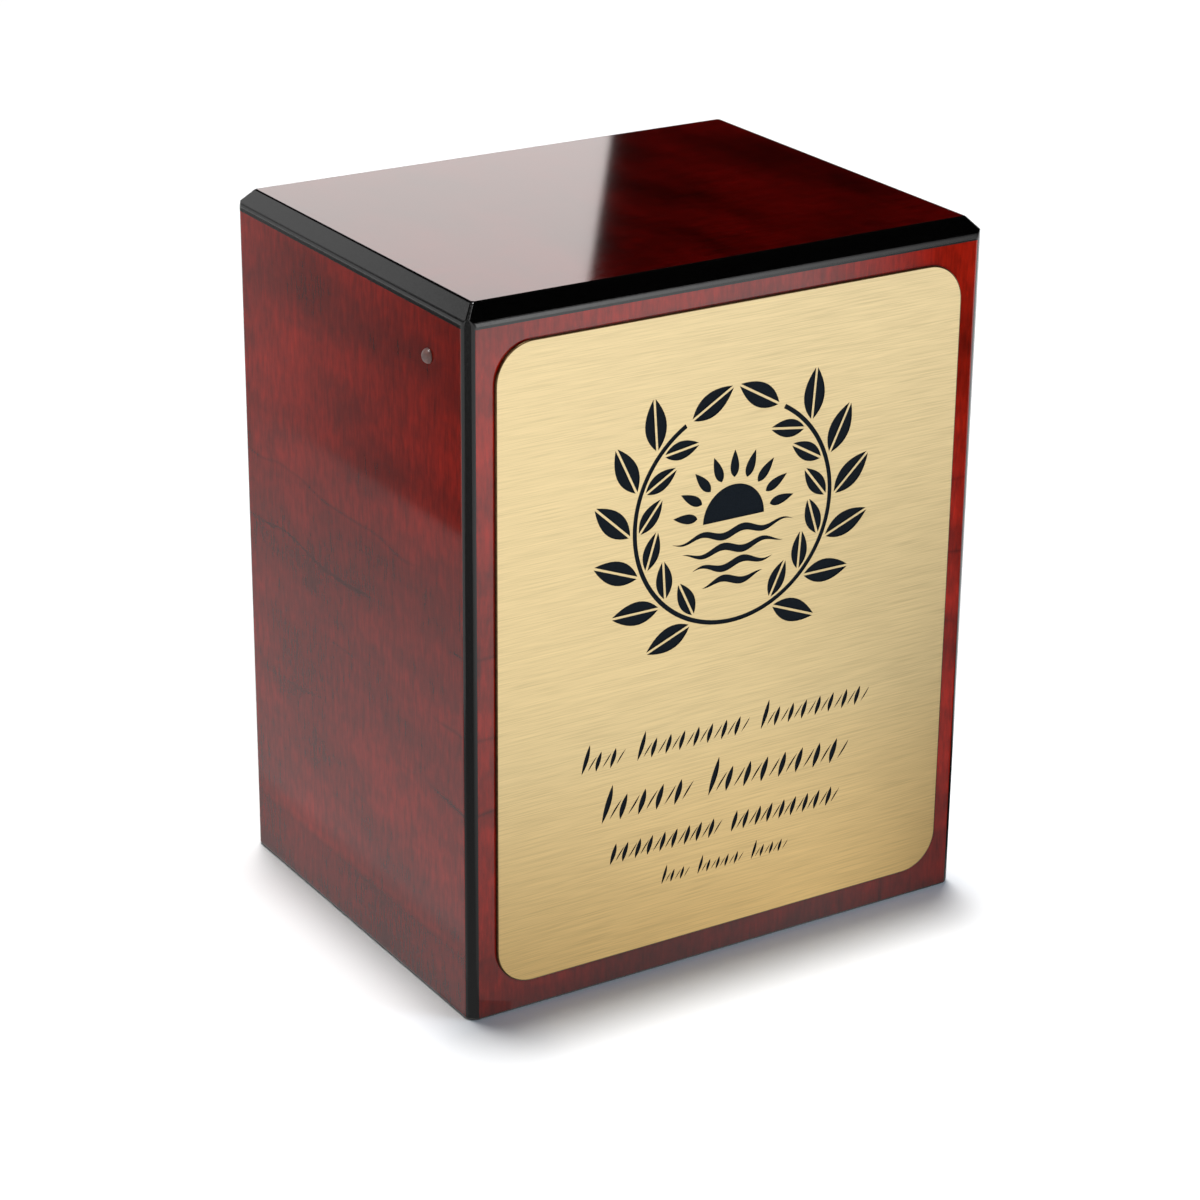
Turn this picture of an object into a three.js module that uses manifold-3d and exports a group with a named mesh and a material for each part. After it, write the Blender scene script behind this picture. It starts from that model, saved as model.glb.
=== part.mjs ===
// Cremation urn box: six lacquered boards, an engraved brass plaque and a small screw plug.
// Millimetres, +Z up. The origin is the middle of the underside and the plaque faces -Y.

import * as THREE from 'three';
import { mergeVertices } from 'three/addons/utils/BufferGeometryUtils.js';
import Module from 'manifold-3d';

const wasm = await Module();
wasm.setup();

// Box
const BOX_WIDTH = 174;
const BOX_DEPTH = 138;
const BOX_HEIGHT = 216;
const WALL_THICKNESS = 12;
const BASE_THICKNESS = 9;

// Black edges
const TOP_BEVEL_WIDTH = 4.25;
const TOP_BEVEL_HEIGHT = 4.75;
const TOP_EDGE_BAND = 1.75;
const CORNER_CHAMFER = 2.5;
const FOOT_CHAMFER = 0.75;

// Plaque
const PLAQUE_WIDTH = 157;
const PLAQUE_HEIGHT = 195.5;
const PLAQUE_THICKNESS = 1;
const PLAQUE_FOOT_MARGIN = 9;
const PLAQUE_CORNER_RADIUS = 12;
const PLAQUE_RIM = 0.25;
const ENGRAVING_DEPTH = 0.3;

// Screw plug in the left side
const PLUG_FROM_FRONT = 20.75;
const PLUG_FROM_FLOOR = 197;
const PLUG_HEAD_RADIUS = 2.2;
const PLUG_DOME = 1.8;
const PLUG_STEM_RADIUS = 1.5;
const PLUG_STEM_LENGTH = 4;
const PLUG_CLEARANCE = 0.3;
const ROUND_SIDES = 16;

// Wreath, sun and water, from the middle of the plaque
const WREATH_CENTRE = { x: 0, y: 35 };
const WREATH_RADIUS = 33.5;
const BRANCH_START = -90;
const BRANCH_END = 60;
const BRANCH_WIDTH = 1.4;
const LEAF_PAIRS = 6;
const LEAF_STANDOFF = 2.5;
const OUTER_LEAF_LENGTH = 15.5;
const INNER_LEAF_LENGTH = 11.5;
const LEAF_SLENDERNESS = 0.21;
const LEAF_BELLY = 0.42;
const LEAF_RIB = 0.7;
const LEAF_SPREAD = 43;
const SUN_CENTRE = { x: 0, y: 33 };
const SUN_RADIUS = 10.5;
const SUN_RAYS = 9;
const RAY_INNER_RADIUS = 12.6;
const RAY_OUTER_RADIUS = 21;
const RAY_HALF_WIDTH = 1.5;
const RAY_BELLY_RADIUS = 14.6;
const RIPPLE_ROWS = 4;
const RIPPLE_FIRST_LENGTH = 42;
const RIPPLE_SHORTENING = 7;
const RIPPLE_FIRST_DROP = 4;
const RIPPLE_PITCH = 4.9;
const RIPPLE_THICKNESS = 2.4;
const RIPPLE_SWELL = 0.9;
const RIPPLE_WAVELENGTH = 14;
const RIPPLE_STEPS = 14;

// Inscription: rows of pen strokes, from the middle of the plaque
const INSCRIPTION_ROWS = [
  { baseline: -36, left: -50.5, right: 50.5, tall: 9, short: 6, groups: [3, 8, 8] },
  { baseline: -53.3, left: -43.5, right: 43.5, tall: 11.8, short: 7.8, groups: [5, 8] },
  { baseline: -67.3, left: -40.5, right: 40.5, tall: 6.6, short: 6.1, groups: [9, 9] },
  { baseline: -78.3, left: -22.5, right: 22.5, tall: 6, short: 4, groups: [3, 5, 4] },
];
const GROUP_GAP = 0.9;
const STROKE_LEAN = 17;
const HAIRLINE_LEAN = 36;
const STROKE_WEIGHT = 0.25;
const HAIRLINE_WEIGHT = 0.13;
const HAIRLINE_HEIGHT = 0.7;
const HAIRLINE_LIFT = 0.12;
const HAIRLINE_STEP = 0.44;
const STROKE_BOW = 0.05;

// Straight steps along each curve of the plaque
const CORNER_STEPS = 5;
const STEM_STEPS = 20;
const SUN_STEPS = 8;
const LEAF_STEPS = 4;
const STROKE_STEPS = 5;
const HAIRLINE_STEPS = 3;

const TOP_THICKNESS = TOP_BEVEL_HEIGHT + TOP_EDGE_BAND;
const WALL_HEIGHT = BOX_HEIGHT - TOP_THICKNESS;
const PLAQUE_CENTRE_HEIGHT = PLAQUE_FOOT_MARGIN + PLAQUE_HEIGHT / 2;
const radians = THREE.MathUtils.degToRad;

// Finishes
function finish(color, roughness, metalness) {
  return new THREE.MeshStandardMaterial({ color, roughness, metalness, flatShading: true });
}

const lacqueredVeneer = () => finish(0x6b1f1a, 0.2, 0);
const stainedBoard = () => finish(0x3a2420, 0.6, 0);
const brushedBrass = () => finish(0xd9bf85, 0.35, 1);
const plugPlastic = () => finish(0x7a5a54, 0.35, 0);

// Solids
function toSolid(geometry) {
  const bare = geometry.clone();
  bare.deleteAttribute('normal');
  bare.deleteAttribute('uv');
  const merged = mergeVertices(bare);
  return new wasm.Manifold(new wasm.Mesh({
    numProp: 3,
    vertProperties: new Float32Array(merged.attributes.position.array),
    triVerts: new Uint32Array(merged.index.array),
  }));
}

function toGeometry(solid) {
  const mesh = solid.getMesh();
  const geometry = new THREE.BufferGeometry();
  geometry.setAttribute('position', new THREE.BufferAttribute(mesh.vertProperties, 3));
  geometry.setIndex(new THREE.BufferAttribute(mesh.triVerts, 1));
  geometry.computeVertexNormals();
  return geometry;
}

function outline(points) {
  return new THREE.Shape(points.map(([x, y]) => new THREE.Vector2(x, y)));
}

function prism(shape, depth, curveSegments = 6) {
  return new THREE.ExtrudeGeometry(shape, { depth, bevelEnabled: false, curveSegments });
}

function named(name, geometry, material) {
  const mesh = new THREE.Mesh(geometry, material);
  mesh.name = name;
  return mesh;
}

// An outline in (x, z) drawn as (x, y), swept along Y and centred on it
function prismAlongY(points, length) {
  return prism(outline(points), length).rotateX(Math.PI / 2).translate(0, length / 2, 0);
}

// An outline in (y, z) drawn as (x, y), swept along X and centred on it
function prismAlongX(points, length) {
  return prism(outline(points), length)
    .rotateX(Math.PI / 2)
    .rotateZ(Math.PI / 2)
    .translate(-length / 2, 0, 0);
}

// Boards
function topBoard() {
  const bevelled = (span) => [
    [-span / 2, 0],
    [span / 2, 0],
    [span / 2, TOP_EDGE_BAND],
    [span / 2 - TOP_BEVEL_WIDTH, TOP_THICKNESS],
    [-span / 2 + TOP_BEVEL_WIDTH, TOP_THICKNESS],
    [-span / 2, TOP_EDGE_BAND],
  ];
  const halfWidth = BOX_WIDTH / 2;
  const halfDepth = BOX_DEPTH / 2;
  const plan = outline([
    [-halfWidth + CORNER_CHAMFER, -halfDepth],
    [halfWidth - CORNER_CHAMFER, -halfDepth],
    [halfWidth, -halfDepth + CORNER_CHAMFER],
    [halfWidth, halfDepth - CORNER_CHAMFER],
    [halfWidth - CORNER_CHAMFER, halfDepth],
    [-halfWidth + CORNER_CHAMFER, halfDepth],
    [-halfWidth, halfDepth - CORNER_CHAMFER],
    [-halfWidth, -halfDepth + CORNER_CHAMFER],
  ]);
  const solid = toSolid(prism(plan, TOP_THICKNESS))
    .intersect(toSolid(prismAlongY(bevelled(BOX_WIDTH), BOX_DEPTH)))
    .intersect(toSolid(prismAlongX(bevelled(BOX_DEPTH), BOX_WIDTH)));
  const mesh = named('top_board', toGeometry(solid), lacqueredVeneer());
  mesh.position.z = WALL_HEIGHT;
  return mesh;
}

// A wall of the given outer length: outer face on y = 0, inner face on y = WALL_THICKNESS,
// ends mitred, and half of each corner's chamfer on each end
function wallSolid(length) {
  const half = length / 2;
  const plan = outline([
    [-half + CORNER_CHAMFER, 0],
    [half - CORNER_CHAMFER, 0],
    [half - CORNER_CHAMFER / 2, CORNER_CHAMFER / 2],
    [half - WALL_THICKNESS, WALL_THICKNESS],
    [-half + WALL_THICKNESS, WALL_THICKNESS],
    [-half + CORNER_CHAMFER / 2, CORNER_CHAMFER / 2],
  ]);
  const section = [
    [FOOT_CHAMFER, 0],
    [WALL_THICKNESS, 0],
    [WALL_THICKNESS, WALL_HEIGHT],
    [0, WALL_HEIGHT],
    [0, FOOT_CHAMFER],
  ];
  return toSolid(prism(plan, WALL_HEIGHT)).intersect(toSolid(prismAlongX(section, length)));
}

function wall(name, solid, x, y, turn) {
  const mesh = named(name, toGeometry(solid), lacqueredVeneer());
  mesh.position.set(x, y, 0);
  mesh.rotation.z = radians(turn);
  return mesh;
}

function plugHole() {
  const radius = PLUG_STEM_RADIUS + PLUG_CLEARANCE;
  const depth = PLUG_STEM_LENGTH + PLUG_CLEARANCE;
  const fromMiddle = BOX_DEPTH / 2 - PLUG_FROM_FRONT;
  return toSolid(new THREE.CylinderGeometry(radius, radius, depth * 2, ROUND_SIDES)
    .translate(fromMiddle, 0, PLUG_FROM_FLOOR));
}

function walls() {
  return [
    wall('front_board', wallSolid(BOX_WIDTH), 0, -BOX_DEPTH / 2, 0),
    wall('right_side_board', wallSolid(BOX_DEPTH), BOX_WIDTH / 2, 0, 90),
    wall('back_board', wallSolid(BOX_WIDTH), 0, BOX_DEPTH / 2, 180),
    wall('left_side_board', wallSolid(BOX_DEPTH).subtract(plugHole()), -BOX_WIDTH / 2, 0, -90),
  ];
}

function baseBoard() {
  const geometry = new THREE.BoxGeometry(
    BOX_WIDTH - 2 * WALL_THICKNESS,
    BOX_DEPTH - 2 * WALL_THICKNESS,
    BASE_THICKNESS,
  );
  const mesh = named('base_board', geometry, stainedBoard());
  mesh.position.z = BASE_THICKNESS / 2;
  return mesh;
}

// Screw plug: a stem in the wall and a low domed head against the outer face
function screwPlug() {
  const profile = new THREE.Path();
  profile.moveTo(0, -PLUG_STEM_LENGTH);
  profile.lineTo(PLUG_STEM_RADIUS, -PLUG_STEM_LENGTH);
  profile.lineTo(PLUG_STEM_RADIUS, 0);
  profile.lineTo(PLUG_HEAD_RADIUS, 0);
  profile.absellipse(0, 0, PLUG_HEAD_RADIUS, PLUG_DOME, 0, Math.PI / 2, false);
  const points = profile.getPoints(3);
  points[points.length - 1].x = 0;
  const geometry = new THREE.LatheGeometry(points, ROUND_SIDES).rotateZ(Math.PI / 2);
  const mesh = named('side_screw_plug', geometry, plugPlastic());
  mesh.position.set(-BOX_WIDTH / 2, -BOX_DEPTH / 2 + PLUG_FROM_FRONT, PLUG_FROM_FLOOR);
  return mesh;
}

// Plaque, drawn upright in (x, y) with its back on z = 0
function plaqueBlank() {
  const right = PLAQUE_WIDTH / 2 - PLAQUE_CORNER_RADIUS;
  const top = PLAQUE_HEIGHT / 2 - PLAQUE_CORNER_RADIUS;
  const shape = new THREE.Shape();
  shape.absarc(right, -top, PLAQUE_CORNER_RADIUS, -Math.PI / 2, 0);
  shape.absarc(right, top, PLAQUE_CORNER_RADIUS, 0, Math.PI / 2);
  shape.absarc(-right, top, PLAQUE_CORNER_RADIUS, Math.PI / 2, Math.PI);
  shape.absarc(-right, -top, PLAQUE_CORNER_RADIUS, Math.PI, Math.PI * 1.5);
  const plate = new THREE.ExtrudeGeometry(shape, {
    depth: PLAQUE_THICKNESS,
    curveSegments: CORNER_STEPS,
    bevelSegments: 1,
    bevelThickness: PLAQUE_RIM,
    bevelSize: PLAQUE_RIM,
    bevelOffset: -PLAQUE_RIM,
  }).translate(0, 0, -PLAQUE_RIM);
  const behind = new THREE.BoxGeometry(PLAQUE_WIDTH * 2, PLAQUE_HEIGHT * 2, PLAQUE_THICKNESS)
    .translate(0, 0, -PLAQUE_THICKNESS / 2);
  return toSolid(plate).subtract(toSolid(behind));
}

// A cutter for one engraved mark, turned by an angle and set at a place on the plaque
function mark(shape, x, y, turn, curveSegments) {
  const geometry = prism(shape, ENGRAVING_DEPTH * 2, curveSegments)
    .rotateZ(turn)
    .translate(x, y, PLAQUE_THICKNESS - ENGRAVING_DEPTH);
  return toSolid(geometry);
}

// Half a leaf on one side of its rib, growing along +X
function leafHalf(length, side) {
  const tip = LEAF_STANDOFF + length;
  const shape = new THREE.Shape();
  shape.moveTo(LEAF_STANDOFF, side * LEAF_RIB / 2);
  shape.quadraticCurveTo(
    LEAF_STANDOFF + length * LEAF_BELLY,
    side * (LEAF_RIB / 2 + length * LEAF_SLENDERNESS * 2),
    tip,
    side * LEAF_RIB / 2,
  );
  shape.closePath();
  return shape;
}

function leaf(length, x, y, turn) {
  return [1, -1].map((side) => mark(leafHalf(length, side), x, y, turn, LEAF_STEPS));
}

// One branch's leaves: side 1 climbs on the right, side -1 on the left
function branchLeaves(side) {
  const node = (step) => {
    const angle = radians(BRANCH_START + (BRANCH_END - BRANCH_START) * step / (LEAF_PAIRS + 1));
    return {
      x: WREATH_CENTRE.x + side * WREATH_RADIUS * Math.cos(angle),
      y: WREATH_CENTRE.y + WREATH_RADIUS * Math.sin(angle),
      growth: side > 0 ? angle + Math.PI / 2 : Math.PI / 2 - angle,
    };
  };
  const spread = side * radians(LEAF_SPREAD);
  const cutters = [];
  for (let pair = 1; pair <= LEAF_PAIRS; pair += 1) {
    const { x, y, growth } = node(pair);
    cutters.push(...leaf(INNER_LEAF_LENGTH, x, y, growth + spread));
    cutters.push(...leaf(OUTER_LEAF_LENGTH, x, y, growth - spread));
  }
  const end = node(LEAF_PAIRS + 1);
  cutters.push(...leaf(OUTER_LEAF_LENGTH, end.x, end.y, end.growth));
  return cutters;
}

// The two stems as one arc, open at the top
function stems() {
  const from = radians(180 - BRANCH_END);
  const to = radians(360 + BRANCH_END);
  const arc = new THREE.Shape();
  arc.absarc(0, 0, WREATH_RADIUS + BRANCH_WIDTH / 2, from, to, false);
  arc.absarc(0, 0, WREATH_RADIUS - BRANCH_WIDTH / 2, to, from, true);
  arc.closePath();
  return mark(arc, WREATH_CENTRE.x, WREATH_CENTRE.y, 0, STEM_STEPS);
}

function sun() {
  const disc = new THREE.Shape();
  disc.absarc(0, 0, SUN_RADIUS, 0, Math.PI, false);
  disc.closePath();
  const ray = new THREE.Shape();
  ray.moveTo(RAY_INNER_RADIUS, 0);
  ray.quadraticCurveTo(RAY_BELLY_RADIUS, 2 * RAY_HALF_WIDTH, RAY_OUTER_RADIUS, 0);
  ray.quadraticCurveTo(RAY_BELLY_RADIUS, -2 * RAY_HALF_WIDTH, RAY_INNER_RADIUS, 0);
  const cutters = [mark(disc, SUN_CENTRE.x, SUN_CENTRE.y, 0, SUN_STEPS)];
  for (let i = 0; i < SUN_RAYS; i += 1) {
    const turn = Math.PI * (i + 0.5) / SUN_RAYS;
    cutters.push(mark(ray, SUN_CENTRE.x, SUN_CENTRE.y, turn, LEAF_STEPS));
  }
  return cutters;
}

// A wave that swells along its length and thins out at both ends
function ripple(length, phase) {
  const edge = (sign) => Array.from({ length: RIPPLE_STEPS - 1 }, (_, i) => {
    const share = (i + 1) / RIPPLE_STEPS;
    const x = length * (share - 0.5);
    const half = RIPPLE_THICKNESS / 2 * Math.sin(Math.PI * share);
    return [x, RIPPLE_SWELL * Math.sin(2 * Math.PI * x / RIPPLE_WAVELENGTH + phase) + sign * half];
  });
  const end = (x) => [x, RIPPLE_SWELL * Math.sin(2 * Math.PI * x / RIPPLE_WAVELENGTH + phase)];
  return outline([end(-length / 2), ...edge(-1), end(length / 2), ...edge(1).reverse()]);
}

function water() {
  return Array.from({ length: RIPPLE_ROWS }, (_, row) => {
    const length = RIPPLE_FIRST_LENGTH - RIPPLE_SHORTENING * row;
    const y = SUN_CENTRE.y - RIPPLE_FIRST_DROP - RIPPLE_PITCH * row;
    return mark(ripple(length, row * Math.PI), SUN_CENTRE.x, y, 0);
  });
}

// A leaning pen stroke, pointed at both ends and bowed to one side
function penStroke(height, lean, weight, bow) {
  const top = { x: height * Math.tan(radians(lean)), y: height };
  const middle = { x: top.x / 2 + bow * height, y: height / 2 };
  const shape = new THREE.Shape();
  shape.moveTo(0, 0);
  shape.quadraticCurveTo(middle.x + weight * height, middle.y, top.x, top.y);
  shape.quadraticCurveTo(middle.x - weight * height, middle.y, 0, 0);
  return shape;
}

function inscriptionRow({ baseline, left, right, tall, short, groups }) {
  const strokes = groups.reduce((sum, count) => sum + count, 0);
  const pitch = (right - left) / (strokes + GROUP_GAP * (groups.length - 1));
  const cutters = [];
  let x = left;
  for (const count of groups) {
    for (let i = 0; i < count; i += 1) {
      const height = i === 0 ? tall : short;
      const bow = i % 2 === 0 ? STROKE_BOW : -STROKE_BOW;
      const heavy = penStroke(height, STROKE_LEAN, STROKE_WEIGHT * short / height, bow);
      cutters.push(mark(heavy, x, baseline, 0, STROKE_STEPS));
      const hairline = penStroke(short * HAIRLINE_HEIGHT, HAIRLINE_LEAN, HAIRLINE_WEIGHT, -bow);
      const hairlineX = x + pitch * HAIRLINE_STEP;
      const hairlineY = baseline + short * HAIRLINE_LIFT;
      cutters.push(mark(hairline, hairlineX, hairlineY, 0, HAIRLINE_STEPS));
      x += pitch;
    }
    x += pitch * GROUP_GAP;
  }
  return cutters;
}

function brassPlaque() {
  const engraving = [
    stems(),
    ...branchLeaves(1),
    ...branchLeaves(-1),
    ...sun(),
    ...water(),
    ...INSCRIPTION_ROWS.flatMap(inscriptionRow),
  ];
  const cut = engraving.reduce((all, cutter) => all.add(cutter));
  const mesh = named('brass_plaque', toGeometry(plaqueBlank().subtract(cut)), brushedBrass());
  mesh.rotation.x = Math.PI / 2;
  mesh.position.set(0, -BOX_DEPTH / 2, PLAQUE_CENTRE_HEIGHT);
  return mesh;
}

const urnBox = new THREE.Group();
urnBox.add(topBoard(), ...walls(), baseBoard(), screwPlug(), brassPlaque());

export default urnBox;
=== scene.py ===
import math

import bmesh
import bpy
from mathutils import Matrix, Vector
from mathutils.geometry import interpolate_bezier


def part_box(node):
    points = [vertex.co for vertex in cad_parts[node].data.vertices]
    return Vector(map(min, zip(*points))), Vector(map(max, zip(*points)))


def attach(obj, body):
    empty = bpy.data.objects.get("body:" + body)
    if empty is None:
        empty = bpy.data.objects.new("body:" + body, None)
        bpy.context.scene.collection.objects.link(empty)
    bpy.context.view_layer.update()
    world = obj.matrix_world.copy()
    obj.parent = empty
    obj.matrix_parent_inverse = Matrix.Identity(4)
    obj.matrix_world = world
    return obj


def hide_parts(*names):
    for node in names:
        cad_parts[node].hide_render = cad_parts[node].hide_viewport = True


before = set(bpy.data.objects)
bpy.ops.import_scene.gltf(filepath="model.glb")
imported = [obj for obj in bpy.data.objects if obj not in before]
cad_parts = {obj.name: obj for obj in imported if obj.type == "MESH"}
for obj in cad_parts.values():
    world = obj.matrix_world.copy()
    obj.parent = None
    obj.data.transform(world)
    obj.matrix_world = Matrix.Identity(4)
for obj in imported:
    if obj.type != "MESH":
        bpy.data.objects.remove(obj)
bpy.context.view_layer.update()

MM = 0.001
NEAR = MM / 10
VERY_NEAR = MM / 100

# Box, read from the frame
TOP_LOW, TOP_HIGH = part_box("top_board")
PLAQUE_LOW, PLAQUE_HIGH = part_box("brass_plaque")
PLUG_LOW, PLUG_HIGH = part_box("side_screw_plug")
BASE_LOW, BASE_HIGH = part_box("base_board")
BOX_WIDTH = TOP_HIGH[0] - TOP_LOW[0]
BOX_DEPTH = TOP_HIGH[1] - TOP_LOW[1]
WALL_HEIGHT = TOP_LOW[2]
WALL_THICKNESS = BASE_LOW[0] - TOP_LOW[0]

# Black edges
TOP_BEVEL_WIDTH = 4.25 * MM
TOP_BEVEL_HEIGHT = 4.75 * MM
TOP_EDGE_BAND = TOP_HIGH[2] - TOP_LOW[2] - TOP_BEVEL_HEIGHT
CORNER_CHAMFER = 2.5 * MM
CORNER_BLACK_MARGIN = 0.4 * MM
CORNER_ARRIS = 0.8 * MM
SMALLEST_CORNER = 0.25
LOWER_BEVEL_ROUNDING = 3.4 * MM
UPPER_BEVEL_ROUNDING = 1.2 * MM
ROUNDING_STEPS = 8
FOOT_ROUNDING = 0.8 * MM
BASE_EDGE_ROUNDING = 0.3 * MM
EDGE_SEGMENTS = 5

# Plaque
PLAQUE_CORNER_RADIUS = 12 * MM
PLAQUE_CORNER_SEGMENTS = 14
PLAQUE_RIM = 0.4 * MM
PLAQUE_RIM_SEGMENTS = 4
ENGRAVING_DEPTH = 0.3 * MM

# Wreath, sun and water, in millimetres from the middle of the plaque
WREATH_CENTRE = (0, 35)
WREATH_RADIUS = 33.5
BRANCH_START = -90
BRANCH_END = 60
BRANCH_WIDTH = 1.4
LEAF_PAIRS = 6
LEAF_STANDOFF = 2.5
OUTER_LEAF_LENGTH = 15.5
INNER_LEAF_LENGTH = 11.5
LEAF_SLENDERNESS = 0.21
LEAF_BELLY = 0.42
LEAF_RIB = 0.7
LEAF_SPREAD = 43
SUN_CENTRE = (0, 33)
SUN_RADIUS = 10.5
SUN_RAYS = 9
RAY_INNER_RADIUS = 12.6
RAY_OUTER_RADIUS = 21
RAY_HALF_WIDTH = 1.5
RAY_BELLY_RADIUS = 14.6
RIPPLE_ROWS = 4
RIPPLE_FIRST_LENGTH = 42
RIPPLE_SHORTENING = 7
RIPPLE_FIRST_DROP = 4
RIPPLE_PITCH = 4.9
RIPPLE_THICKNESS = 2.4
RIPPLE_SWELL = 0.9
RIPPLE_WAVELENGTH = 14

# Inscription: rows of pen strokes as (baseline, left, right, tall, short, groups), in millimetres
INSCRIPTION_ROWS = [
    (-36, -50.5, 50.5, 9, 6, (3, 8, 8)),
    (-53.3, -43.5, 43.5, 11.8, 7.8, (5, 8)),
    (-67.3, -40.5, 40.5, 6.6, 6.1, (9, 9)),
    (-78.3, -22.5, 22.5, 6, 4, (3, 5, 4)),
]
GROUP_GAP = 0.9
STROKE_LEAN = 17
HAIRLINE_LEAN = 36
STROKE_WEIGHT = 0.25
HAIRLINE_WEIGHT = 0.13
HAIRLINE_HEIGHT = 0.7
HAIRLINE_LIFT = 0.12
HAIRLINE_STEP = 0.44
STROKE_BOW = 0.05
CURVE_STEPS = 12

# Screw plug
PLUG_DOME_STEPS = 10
PLUG_TURNS = 40

# Veneer tones, from dark to light
WALL_TONES = ((0.125, 0.004, 0.0008), (0.21, 0.006, 0.0012), (0.31, 0.009, 0.002))
TOP_TONES = ((0.020, 0.0002, 0.0001), (0.042, 0.0004, 0.0002), (0.064, 0.0007, 0.0004))

# Width of the leaves of veneer round the walls
VENEER_LEAF_WIDTH = 0.0595

# Brass from the foot of the plaque to its head: a deeper gold at the foot and a paler head, a painted sheen
BRASS_SHEEN_TONES = (
    (0.0, (0.67, 0.465, 0.195)),
    (0.35, (0.62, 0.485, 0.255)),
    (1.0, (0.60, 0.485, 0.275)),
)

# Studio floor, sky and overhead light
FLOOR_HALF_SIZE = 8.0
LOW_SKY, HIGH_SKY = 0.8, 0.001
LOW_SKY_END, HIGH_SKY_START = 0.16, 0.22
HIGH_KEY_TOWARDS = (0.018, 0.1, 1.0)
HIGH_KEY_WIDTH = 9.0
HIGH_KEY_STRENGTH = 3.6

# Light cards: the top and its left bevel mirror the two that stand behind the box
WARM_WHITE = (1.0, 0.92, 0.9)
NEUTRAL_WHITE = (1.0, 1.0, 1.0)
COOL_WHITE = (0.85, 1.0, 1.2)
TOP_CARD_PLACE = (0.575, 1.2, 0.62)
TOP_CARD_TARGET = (0.575, 0, 0.62)
TOP_CARD_SIZE = (0.34, 0.36)
TOP_CARD_RADIANCE = 2.15
TOP_CARD_LEAN = -9.6
BEVEL_CARD_PLACE = (-0.5, 1.2, 0.72)
BEVEL_CARD_TARGET = (-0.5, 0, 0.72)
BEVEL_CARD_SIZE = (0.5, 0.4)
BEVEL_CARD_RADIANCE = 1.0
FRONT_CARD_PLACE = (-0.32, -0.5, 0.62)
FRONT_CARD_TARGET = (0, -0.07, 0.12)
FRONT_CARD_SIZE = (0.3, 0.25)
FRONT_CARD_RADIANCE = 9.0
FLOOR_FILL_PLACE = (0.5, -0.6, 0.5)
FLOOR_FILL_TARGET = (0.1, -0.1, 0)
FLOOR_FILL_SIZE = (0.3, 0.3)
FLOOR_FILL_RADIANCE = 8.0

# Cards that are only mirrored: how they stand and how their glow runs, as (position, tone) stops
FLAT, UPRIGHT = 0, 90
ALONG_LEFT_SIDE = 90
SQUARE_TO_VIEW = 34.7
EVEN_GLOW = ((0.0, 1.0), (1.0, 1.0))
BESIDE_LEFT_GLOW = ((0.16, 0.1), (0.44, 0.42))
LEFT_TABLE_GLOW = ((0.0, 0.4), (0.45, 0.6), (0.87, 0.72), (0.895, 0.6))
BEFORE_CORNER_GLOW = ((0.0, 0.26), (0.7, 0.26), (0.97, 0.43))
BEFORE_FRONT_GLOW_ACROSS = ((0.4, 1.0), (0.46, 0.02), (0.52, 0.02), (0.57, 1.0))
BEFORE_FRONT_GLOW_ALONG = ((0.357, 1.0), (0.687, 0.7), (0.866, 0.33))
BEYOND_FRONT_GLOW = ((0.15, 1.0), (0.68, 0.1))

# Camera
CAMERA_PLACE = (-0.51254, -0.81657, 0.48863)
CAMERA_AZIMUTH = -32.067
CAMERA_ELEVATION = 22.486
CAMERA_ROLL = 0.533
CAMERA_LENS = 101.73
CAMERA_SENSOR = 36.0


# Materials

def new_material(name):
    """A material with only a principled shader; returns the material and the shader."""
    material = bpy.data.materials.new(name)
    material.use_nodes = True
    shader = material.node_tree.nodes["Principled BSDF"]
    return material, shader


def add(material, kind, **inputs):
    """A node of that kind with its input sockets set by name."""
    node = material.node_tree.nodes.new(kind)
    for key, value in inputs.items():
        node.inputs[key.replace("_", " ")].default_value = value
    return node


def link(material, source, target):
    material.node_tree.links.new(source, target)


def stretched_noise(material, stretch, detail, roughness, offset=(0, 0, 0)):
    """Noise on Object coordinates, with its own number of cells per metre along X, Y and Z."""
    coordinates = add(material, "ShaderNodeTexCoord")
    mapping = add(material, "ShaderNodeMapping", Scale=stretch, Location=offset)
    noise = add(material, "ShaderNodeTexNoise", Scale=1.0, Detail=detail, Roughness=roughness)
    link(material, coordinates.outputs["Object"], mapping.inputs["Vector"])
    link(material, mapping.outputs["Vector"], noise.inputs["Vector"])
    return noise.outputs["Fac"]


def ramp(material, source, *stops):
    """A colour ramp through (position, colour) stops."""
    node = add(material, "ShaderNodeValToRGB")
    elements = node.color_ramp.elements
    while len(elements) < len(stops):
        elements.new(1.0)
    for element, (position, colour) in zip(elements, stops):
        element.position = position
        element.color = colour if len(colour) == 4 else (*colour, 1.0)
    link(material, source, node.inputs["Fac"])
    return node.outputs["Color"]


def grey(value):
    return (value, value, value)


def mix(material, blend, factor, first, second):
    """Mixes two colours; factor is a number or a socket."""
    node = material.node_tree.nodes.new("ShaderNodeMix")
    node.data_type = "RGBA"
    node.blend_type = blend
    for value, socket in ((factor, node.inputs[0]), (first, node.inputs[6]), (second, node.inputs[7])):
        if hasattr(value, "links"):
            link(material, value, socket)
        else:
            socket.default_value = value
    return node.outputs[2]


def bump(material, height, distance, strength):
    node = add(material, "ShaderNodeBump", Strength=strength, Distance=distance)
    link(material, height, node.inputs["Height"])
    return node.outputs["Normal"]


def along_grain(axis, across_cells, along_cells):
    """Cells per metre of a noise drawn out along the grain's axis, 0 for X and 2 for Z."""
    cells = [across_cells, across_cells, across_cells]
    cells[axis] = along_cells
    return tuple(cells)


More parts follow.
